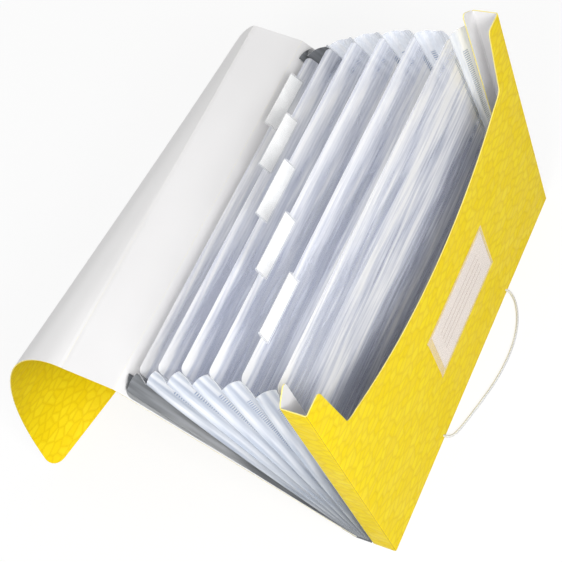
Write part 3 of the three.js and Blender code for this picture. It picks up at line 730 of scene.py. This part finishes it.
def flap():
    """A sheet spanned between two cubic curves, one at each end of the crease, with its free corners
    rounded: near a corner the columns end earlier, as a quarter circle does."""
    near, near_run, length = flap_curve(-1, FLAP_NEAR)
    far, far_run, _ = flap_curve(1, FLAP_FAR)
    radius = FLAP_CORNER_RADIUS
    corner = radius * (1 - np.cos(np.linspace(0, np.pi / 2, 9)))
    straight = np.linspace(radius, WIDTH - radius, 41)[1:-1]
    columns = np.concatenate([corner, straight, (WIDTH - corner)[::-1]])
    rows = np.concatenate([[0, 0.5 / length, 2 / length, 3 / length], np.linspace(0.03, 1, 70)])
    inside = np.maximum(radius - np.minimum(columns, WIDTH - columns), 0)
    cut = radius - np.sqrt(radius ** 2 - inside ** 2)
    start = 2 * CREASE_SETBACK
    share = start / length + rows[None, :] * (1 - (start + cut[:, None]) / length)
    ends = []
    for dense, run in ((near, near_run), (far, far_run)):
        ends.append(np.stack([np.interp(share, run, dense[:, k]) for k in range(3)], axis=-1))
    across = (columns / WIDTH)[:, None, None]
    middle = ends[0] * (1 - across) + ends[1] * across
    down = BACK_HEIGHT + SPINE_WIDTH + share * length
    flat = np.stack(np.broadcast_arrays(columns[:, None] - HALF_WIDTH, down), axis=-1)
    thickness = np.where(rows * length < 1, CREASE_SHEET, COVER_SHEET)[None, :]
    piece = sheet_piece("flap_sheet", middle, thickness, [white_side, yellow, cut_edge], flat)
    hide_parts("flap")
    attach(piece, "flap")


def crease_web(name, place, before, after):
    """The thin web of a living hinge: a narrow strip across the gap between two sheets."""
    xs = np.linspace(-HALF_WIDTH, HALF_WIDTH, 9)
    reach = np.linspace(-WEB_REACH, WEB_REACH, 7)
    offset = np.where(reach[:, None] < 0, reach[:, None] * before, reach[:, None] * after)
    middle = place + offset[None, :, :] + np.stack([xs, 0 * xs, 0 * xs], axis=-1)[:, None, :]
    piece = sheet_piece(name, middle, WEB_SHEET, [white_side, yellow, cut_edge],
                        np.stack(np.broadcast_arrays(xs[:, None], reach[None, :]), axis=-1))
    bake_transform(piece)


# Film panels

def film_panel(number, node_name):
    """A film sheet up a leaning plane with round top corners and a slight bow that fades to its edges."""
    radius = PANEL_CORNER_RADIUS
    half = PANEL_WIDTH / 2
    corner = radius * (1 - np.cos(np.linspace(0, np.pi / 2, 6)))
    straight = np.linspace(radius, PANEL_WIDTH - radius, 25)[1:-1]
    columns = np.concatenate([corner, straight, (PANEL_WIDTH - corner)[::-1]])
    inside = np.maximum(radius - np.minimum(columns, PANEL_WIDTH - columns), 0)
    top = PANEL_HEIGHT - (radius - np.sqrt(radius ** 2 - inside ** 2))
    rows = np.linspace(0, 1, 25)
    along = top[:, None] * rows[None, :]
    x = np.broadcast_to((columns - half)[:, None], along.shape)
    wave = np.sin(2 * np.pi * columns[:, None] / PANEL_WIDTH + 1.7 * number)
    bow = PANEL_BOW * np.sin(np.pi * rows[None, :]) ** 2 * wave
    middle = on_plane(number, x, along, bow)
    looks = [divider_film, divider_film, film_edge]
    piece = sheet_piece(node_name + "_film", middle, PANEL_FILM, looks, np.stack([x, along], axis=-1))
    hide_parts(node_name)
    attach(piece, "folder")


def gusset_folds(side, along):
    """The gusset's folds at each height, from the pocket's flange to the back cover: an inner fold
    beside each panel and an outer fold between each two, as far out as the leaf's width allows. Each
    fold is a flat of two points. Returns its points, and 1 for inner and 0 for outer ones."""
    inner_x = PANEL_WIDTH / 2 + CLEARANCE + FILM / 2
    half = GUSSET_FOLD_WIDTH / 2
    way = np.array([0, *lean_vectors((FRONT_PANEL_LEAN + BACK_LEAN) / 2)[1]])
    start = on_plane(0, side * (HALF_WIDTH - GUSSET_FRONT_INSET), along)
    start[..., 1] = POCKET_DEPTH / 2 + CLEARANCE + FILM / 2
    places, inner = [start], [0]
    fold_along = along - GUSSET_FOLD_DROP * along / PANEL_HEIGHT
    for number in range(DIVIDER_COUNT + 1):
        last = number == DIVIDER_COUNT
        far_off = -(COVER_SHEET / 2 + CLEARANCE + FILM + half) if last else 0.0
        share = GUSSET_LAST_SHARE if last else 0.5
        beside = on_plane(number, side * inner_x, along)
        near = on_plane(number, side * inner_x, fold_along)
        far = on_plane(number + 1, side * inner_x, fold_along, far_off)
        fold = near * (1 - share) + far * share
        gap = np.linalg.norm(far - near, axis=-1) * share
        fold[..., 0] = side * (inner_x + np.sqrt(GUSSET_LEAF ** 2 - gap ** 2))
        places += [beside - way * half, beside + way * half, fold - way * half, fold + way * half]
        inner += [1, 1, 0, 0]
    places.append(on_plane(DIVIDER_COUNT + 1, side * inner_x, along, far_off) + way * half)
    return np.stack(places, axis=0), np.array(inner + [1])


def side_gusset(side, node_name):
    """A pleated film strip. Each leaf between two folds bows out by a sine of its width, and its top
    edge rises to a low crown. The last leaves by the cover are a darker grey, as painted shade. The
    flat end welded to the cover is a strip with a round top corner, in a grey of painted shade."""
    height = np.linspace(GUSSET_FOOT, PANEL_HEIGHT, 33)
    folds, inner = gusset_folds(side, height)
    share = height / PANEL_HEIGHT
    rows, across = [folds[0]], [inner[0]]
    for k in range(len(folds) - 1):
        step = folds[k + 1] - folds[k]
        length = np.linalg.norm(step, axis=-1)
        leaf = length.max() > 4 * GUSSET_FOLD_WIDTH
        bend = np.cross(step / length[:, None], [0, math.sin(0.4), math.cos(0.4)])
        for t in np.linspace(0, 1, 8 if leaf else 2)[1:]:
            place = folds[k] + step * t
            if leaf:
                place = place + bend * (GUSSET_BOW * np.sin(np.pi * t) * share)[:, None]
                place[:, 2] += GUSSET_CROWN * np.sin(np.pi * t) * share ** 8
            rows.append(place)
            across.append(inner[k] * (1 - t) + inner[k + 1] * t)
    middle = np.stack(rows, axis=0)
    from_inner = (1 - np.array(across)) * GUSSET_LEAF
    flat = np.stack(np.broadcast_arrays(from_inner[:, None], height[None, :]), axis=-1)
    shaded_by_cover = np.arange(len(middle) - 1) >= len(middle) - 1 - GUSSET_SHADED_STRIPS
    if side < 0:
        middle, flat, shaded_by_cover = middle[::-1], flat[::-1], shaded_by_cover[::-1]
    radius = WELD_FLANGE_RADIUS
    outer = HALF_WIDTH - GUSSET_FRONT_INSET
    corner = outer - radius * (1 - np.cos(np.linspace(np.pi / 2, 0, 7)))
    columns = np.concatenate([[PANEL_WIDTH / 2], corner])
    inside = np.maximum(radius - (outer - columns), 0)
    top = PANEL_HEIGHT - WELD_FLANGE_DROP - (radius - np.sqrt(radius ** 2 - inside ** 2))
    along = GUSSET_FOOT + (top - GUSSET_FOOT)[:, None] * np.linspace(0, 1, 13)[None, :]
    off = -(COVER_SHEET / 2 + WELD_FLANGE_GAP)
    strip = on_plane(DIVIDER_COUNT + 1, side * columns[:, None], along, off)
    strip_flat = np.stack(np.broadcast_arrays(columns[:, None], along), axis=-1)
    if side < 0:
        strip, strip_flat = strip[::-1], strip_flat[::-1]
    pleats = sheet_parts(middle, PLEAT_FILM, flat)
    faces = pleats[2][:2 * shaded_by_cover.size * (len(height) - 1)].reshape(2, shaded_by_cover.size, -1)
    # The last strips by the cover get the dark grey of painted shade.
    faces[:, shaded_by_cover] = 3
    flange = sheet_parts(strip, WELD_FLANGE_FILM, strip_flat)
    # The strip on the cover gets the mid grey of painted shade.
    flange[2][:] = 4
    points, quads, kinds, uv = join_parts([pleats, flange])
    looks = [gusset_film, gusset_film, film_edge, dark_shade_film, strip_shade_film]
    piece = mesh_object(node_name + "_film", points, quads, looks, kinds, uv, sharp=35.0)
    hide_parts(node_name)
    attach(piece, "folder")


def tab_holder(number, node_name):
    """A strip of film folded over the card: up behind it, round a half circle and down in front, with
    its width cut back by a quarter circle at the top corners."""
    centre = TAB_ROW_CENTRE + (number - (DIVIDER_COUNT + 1) / 2) * TAB_PITCH
    foot = PANEL_HEIGHT + TAB_STAND - TAB_HEIGHT
    bend = (TAB_CARD + 2 * CLEARANCE + TAB_WALL) / 2
    off = -(FILM / 2 + CLEARANCE + bend + TAB_WALL / 2)
    straight = np.linspace(0.2, TAB_HEIGHT - TAB_WALL / 2 - bend, 9)
    turn = np.linspace(0, np.pi, 9)[1:-1]
    rise = np.concatenate([straight, straight[-1] + bend * np.sin(turn), straight[::-1]])
    depth = np.concatenate([np.full(9, bend), bend * np.cos(turn), np.full(9, -bend)])
    inside = np.maximum(TAB_CORNER_RADIUS - (TAB_HEIGHT - rise), 0)
    half = TAB_WIDTH / 2 - TAB_CORNER_RADIUS + np.sqrt(TAB_CORNER_RADIUS ** 2 - inside ** 2)
    x = centre + np.linspace(-1, 1, 5)[:, None] * half[None, :]
    middle = on_plane(number, x, foot + rise[None, :], off + depth[None, :])
    flat = np.stack(np.broadcast_arrays(x, rise[None, :]), axis=-1)
    looks = [tab_plastic, tab_plastic, film_edge]
    piece = sheet_piece(node_name + "_film", middle, TAB_FILM, looks, flat)
    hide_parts(node_name)
    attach(piece, "folder")


def plain_node(node_name, look):
    """A solid whose shape is right keeps it and gets its finish."""
    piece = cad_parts[node_name]
    piece.data.materials.clear()
    piece.data.materials.append(look)


# Label sleeve

def label_sleeve():
    """A film window whose rim is welded down: the height over the face rises from the rim to a low
    dome over the card."""
    x = np.linspace(-SLEEVE_WIDTH / 2, SLEEVE_WIDTH / 2, 61)
    z = np.linspace(-SLEEVE_HEIGHT / 2, SLEEVE_HEIGHT / 2, 41)
    gx, gz = np.meshgrid(x, z, indexing="ij")
    to_end = np.minimum(SLEEVE_WIDTH / 2 - gx, gx + SLEEVE_WIDTH / 2 + SLEEVE_WELD)
    to_edge = np.minimum(to_end, SLEEVE_HEIGHT / 2 - np.abs(gz))
    rise = np.clip((to_edge - SLEEVE_RIM) / SLEEVE_WELD, 0, 1)
    rise = rise * rise * (3 - 2 * rise)
    y = -POCKET_DEPTH / 2 - CLEARANCE - SLEEVE_RIM_GAP - SLEEVE_DOME * rise
    middle = np.stack([gx + SLEEVE_CENTRE[0], y, gz + SLEEVE_CENTRE[1]], axis=-1)
    piece = sheet_piece("label_sleeve_window", middle, SLEEVE_FILM, [sleeve_film] * 3)
    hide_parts("label_sleeve")
    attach(piece, "folder")


# Floor, light and world

def sees_background(tree):
    """1 for the rays that show the background: the camera's, reflections and those through clear film."""
    rays = node(tree, "ShaderNodeLightPath")
    seen = rays.outputs["Is Camera Ray"]
    for kind in ("Is Glossy Ray", "Is Transmission Ray"):
        either = node(tree, "ShaderNodeMath", {"operation": "MAXIMUM"}, {0: seen, 1: rays.outputs[kind]})
        seen = either.outputs["Value"]
    return seen


def make_floor():
    """White paper. Part of its white is its own where the background is seen, so that it stays white
    beside the soft shadow, and it is a mid grey for the light that it throws back on the folder."""
    size = 3000
    points = [(-size, -size, -0.2), (size, -size, -0.2), (size, size, -0.2), (-size, size, -0.2)]
    material, tree, shader = new_material("floor_paper", {"Base Color": grey(0.35), "Roughness": 1.0})
    shader.inputs["Specular IOR Level"].default_value = 0.0
    paper = node(tree, "ShaderNodeBsdfDiffuse", {"Color": grey(0.98)})
    glow = node(tree, "ShaderNodeEmission", {"Color": grey(1.0), "Strength": 1.0})
    bright = node(tree, "ShaderNodeMixShader", {0: 0.84}, {1: paper.outputs[0], 2: glow.outputs[0]})
    surface = node(tree, "ShaderNodeMixShader",
                   links={0: sees_background(tree), 1: shader.outputs[0], 2: bright.outputs[0]})
    tree.links.new(surface.outputs[0], tree.nodes["Material Output"].inputs["Surface"])
    floor = mesh_object("floor", points, [(0, 1, 2, 3)], [material])


def make_light():
    """A soft white world and five square lamps: name, place, aim, width in metres and power in watts."""
    world = bpy.data.worlds.new("studio")
    bpy.context.scene.world = world
    world.use_nodes = True
    tree = world.node_tree
    tree.nodes.clear()
    soft = node(tree, "ShaderNodeBackground", {"Color": grey(1.0), "Strength": 0.42})
    clean = node(tree, "ShaderNodeBackground", {"Color": grey(1.0), "Strength": 1.0})
    mix = node(tree, "ShaderNodeMixShader",
               links={0: sees_background(tree), 1: soft.outputs[0], 2: clean.outputs[0]})
    node(tree, "ShaderNodeOutputWorld", links={"Surface": mix.outputs[0]})
    for name, place, aim, size, power in (
        ("key", (-1.35, -0.25, 1.4), (0.0, 0.05, 0.1), 0.6, 14.0),
        ("top", (-0.6, -1.0, 1.9), (0.0, 0.05, 0.1), 0.9, 2.0),
        ("fill", (-0.55, -0.9, 0.85), (-0.05, 0.0, 0.1), 0.6, 12.0),
        ("right side", (1.7, 0.3, 0.3), (0.0, 0.05, 0.1), 0.9, 5.0),
        ("back", (0.4, 1.8, 0.3), (0.0, 0.1, 0.1), 0.9, 4.5),
    ):
        data = bpy.data.lights.new(name, "AREA")
        data.energy = power
        data.size = size
        lamp = bpy.data.objects.new(name, data)
        bpy.context.scene.collection.objects.link(lamp)
        turn = (Vector(aim) - Vector(place)).to_track_quat("-Z", "Y")
        lamp.matrix_world = Matrix.Translation(Vector(place)) @ turn.to_matrix().to_4x4()


make_camera()
elastic_cord()
front_pocket()
back_cover()
flap_spine()
flap()
cover_way = np.array([0, *leaning_plane(DIVIDER_COUNT + 1)[1]])
flap_way = np.array([0, 0.95, 0.2])
crease_web("hinge_web_back", hinge, cover_way, spine_way)
crease_web("hinge_web_flap", crease, spine_way, flap_way)
film_panel(0, "front_panel")
for k in range(1, DIVIDER_COUNT + 1):
    film_panel(k, f"divider_{k}")
    tab_holder(k, f"tab_holder_{k}")
    plain_node(f"tab_card_{k}", tab_paper)
side_gusset(-1, "left_gusset")
side_gusset(1, "right_gusset")
# The bottom gusset is given the dark grey of painted shade.
plain_node("bottom_gusset", dark_shade_film)
plain_node("label_card", label_paper)
label_sleeve()
for stop in ("cord_stop_left", "cord_stop_right"):
    plain_node(stop, stop_plastic)
make_floor()
make_light()

bpy.context.scene.view_settings.view_transform = "Standard"
bpy.context.scene.cycles.transparent_max_bounces = 32
